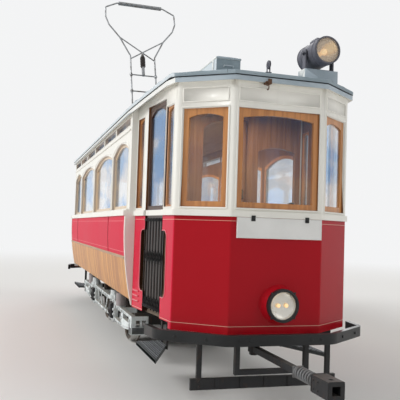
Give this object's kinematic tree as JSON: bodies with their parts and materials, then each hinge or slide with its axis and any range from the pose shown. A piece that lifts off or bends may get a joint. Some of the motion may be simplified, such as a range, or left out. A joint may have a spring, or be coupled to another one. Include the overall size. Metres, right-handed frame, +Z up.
{
  "type": "two-axle electric tram",
  "caption": "Small double-ended two-axle tram with a vaulted roof, closed platforms, arched saloon windows, pedestal truck and a lyre collector.",
  "frame": {"origin": "on the plane of the wheel flanges' lowest points, at the middle of the car lengthways and sideways", "axes": "+Z up, +Y along the car towards its rear end, +X to the left side of the car seen by a driver at the front end, which faces -Y"},
  "size_m": [2.044, 10.38, 5.5071],
  "materials": {
    "side_red": "semi-gloss enamel, lightly weathered",
    "cream": "semi-gloss enamel, lightly weathered",
    "tan_boards": "varnished upright boards, sun-bleached",
    "varnish": "dark varnished hardwood",
    "honey_varnish": "light honey-brown varnished hardwood",
    "floor_boards": "worn bare boards",
    "roof_canvas": "painted canvas over boards",
    "truck_grey": "matt grey paint with rust and grime",
    "underframe_black": "matt black paint, dusty",
    "wheel_steel": "bare tread, grimy disc",
    "bare_steel": "worn bare steel",
    "brass": "handled brass",
    "glass": "clear window glass",
    "lens": "ribbed lamp lens",
    "board_white": "matt blank board"
  },
  "bodies": {
    "car": {"truck_frame": "truck_grey", "axleboxes": "underframe_black", "springs": "truck_grey", "motors": "underframe_black", "brake_rigging": "underframe_black", "underframe": "underframe_black", "saloon_floor": "floor_boards", "platform_floors": "floor_boards", "side_panels": "side_red", "skirt_boards": "tan_boards", "end_posts": "cream", "belt_rail": "cream", "window_walls": "cream", "sashes": "honey_varnish", "fixed_glass": "glass", "dash_front": "side_red", "dash_rear": "side_red", "vestibule_front": "cream", "vestibule_rear": "cream", "lattice_gates": "underframe_black", "grab_rails": "brass", "bulkheads": "varnish", "benches": "varnish", "controllers": "underframe_black", "brake_columns": "brass", "roof": "roof_canvas", "cornice": "cream", "roof_box": "roof_canvas", "collector_base": "truck_grey", "bumpers": "underframe_black", "coupler_stirrups": "underframe_black", "lifeguards": "underframe_black", "steps": "underframe_black", "headlight_rims": "underframe_black", "headlight_lenses": "lens", "destination_board": "board_white", "searchlight_foot": "truck_grey"},
    "wheelset_front": {"wheelset_front": "wheel_steel"},
    "wheelset_rear": {"wheelset_rear": "wheel_steel"},
    "bow": {"collector_bow": "bare_steel"},
    "coupler_front": {"coupler_front": "underframe_black"},
    "coupler_rear": {"coupler_rear": "underframe_black"},
    "yoke": {"searchlight_yoke": "truck_grey"},
    "drum": {"searchlight_drum": "truck_grey", "searchlight_lens": "lens"},
    "sliding_front": {"sliding_door_front": "varnish", "sliding_glass_front": "glass"},
    "door_front_right": {"door_front_right": "varnish", "door_glass_front_right": "glass"},
    "door_front_left": {"door_front_left": "varnish", "door_glass_front_left": "glass"},
    "sliding_rear": {"sliding_door_rear": "varnish", "sliding_glass_rear": "glass"},
    "door_rear_right": {"door_rear_right": "varnish", "door_glass_rear_right": "glass"},
    "door_rear_left": {"door_rear_left": "varnish", "door_glass_rear_left": "glass"}
  },
  "joints": [
    {"name": "axle_front", "type": "hinge", "parent": "car", "child": "wheelset_front", "pos_m": [0, -0.915, 0.4], "axis": [1, 0, 0], "continuous": true},
    {"name": "axle_rear", "type": "hinge", "parent": "car", "child": "wheelset_rear", "pos_m": [0, 0.915, 0.4], "axis": [1, 0, 0], "continuous": true},
    {"name": "bow_hinge", "type": "hinge", "parent": "car", "child": "bow", "pos_m": [0, 1.23, 3.11], "axis": [1, 0, 0], "range_deg": [-62, 44]},
    {"name": "door_hinge_front_right", "type": "hinge", "parent": "car", "child": "door_front_right", "pos_m": [-0.82478, -3.15559, 1.6], "axis": [0, 0, 1], "range_deg": [0, 85]},
    {"name": "door_hinge_front_left", "type": "hinge", "parent": "car", "child": "door_front_left", "pos_m": [0.82478, -3.15559, 1.6], "axis": [0, 0, -1], "range_deg": [0, 85]},
    {"name": "sliding_front_slide", "type": "slide", "parent": "car", "child": "sliding_front", "axis": [1, 0, 0], "range_m": [0, 0.52]},
    {"name": "coupler_front_swing", "type": "hinge", "parent": "car", "child": "coupler_front", "pos_m": [0, -3.76, 0.445], "axis": [0, 0, 1], "range_deg": [-20, 20]},
    {"name": "door_hinge_rear_right", "type": "hinge", "parent": "car", "child": "door_rear_right", "pos_m": [-0.82478, 3.15559, 1.6], "axis": [0, 0, -1], "range_deg": [0, 85]},
    {"name": "door_hinge_rear_left", "type": "hinge", "parent": "car", "child": "door_rear_left", "pos_m": [0.82478, 3.15559, 1.6], "axis": [0, 0, 1], "range_deg": [0, 85]},
    {"name": "sliding_rear_slide", "type": "slide", "parent": "car", "child": "sliding_rear", "axis": [-1, 0, 0], "range_m": [0, 0.52]},
    {"name": "coupler_rear_swing", "type": "hinge", "parent": "car", "child": "coupler_rear", "pos_m": [0, 3.76, 0.445], "axis": [0, 0, 1], "range_deg": [-20, 20]},
    {"name": "searchlight_turn", "type": "hinge", "parent": "car", "child": "yoke", "pos_m": [0.52, -3.82, 2.9], "axis": [0, 0, 1], "range_deg": [-45, 45]},
    {"name": "searchlight_tilt", "type": "hinge", "parent": "yoke", "child": "drum", "pos_m": [0.52, -3.82, 3.057], "axis": [1, 0, 0], "range_deg": [-3, 12]}
  ]
}
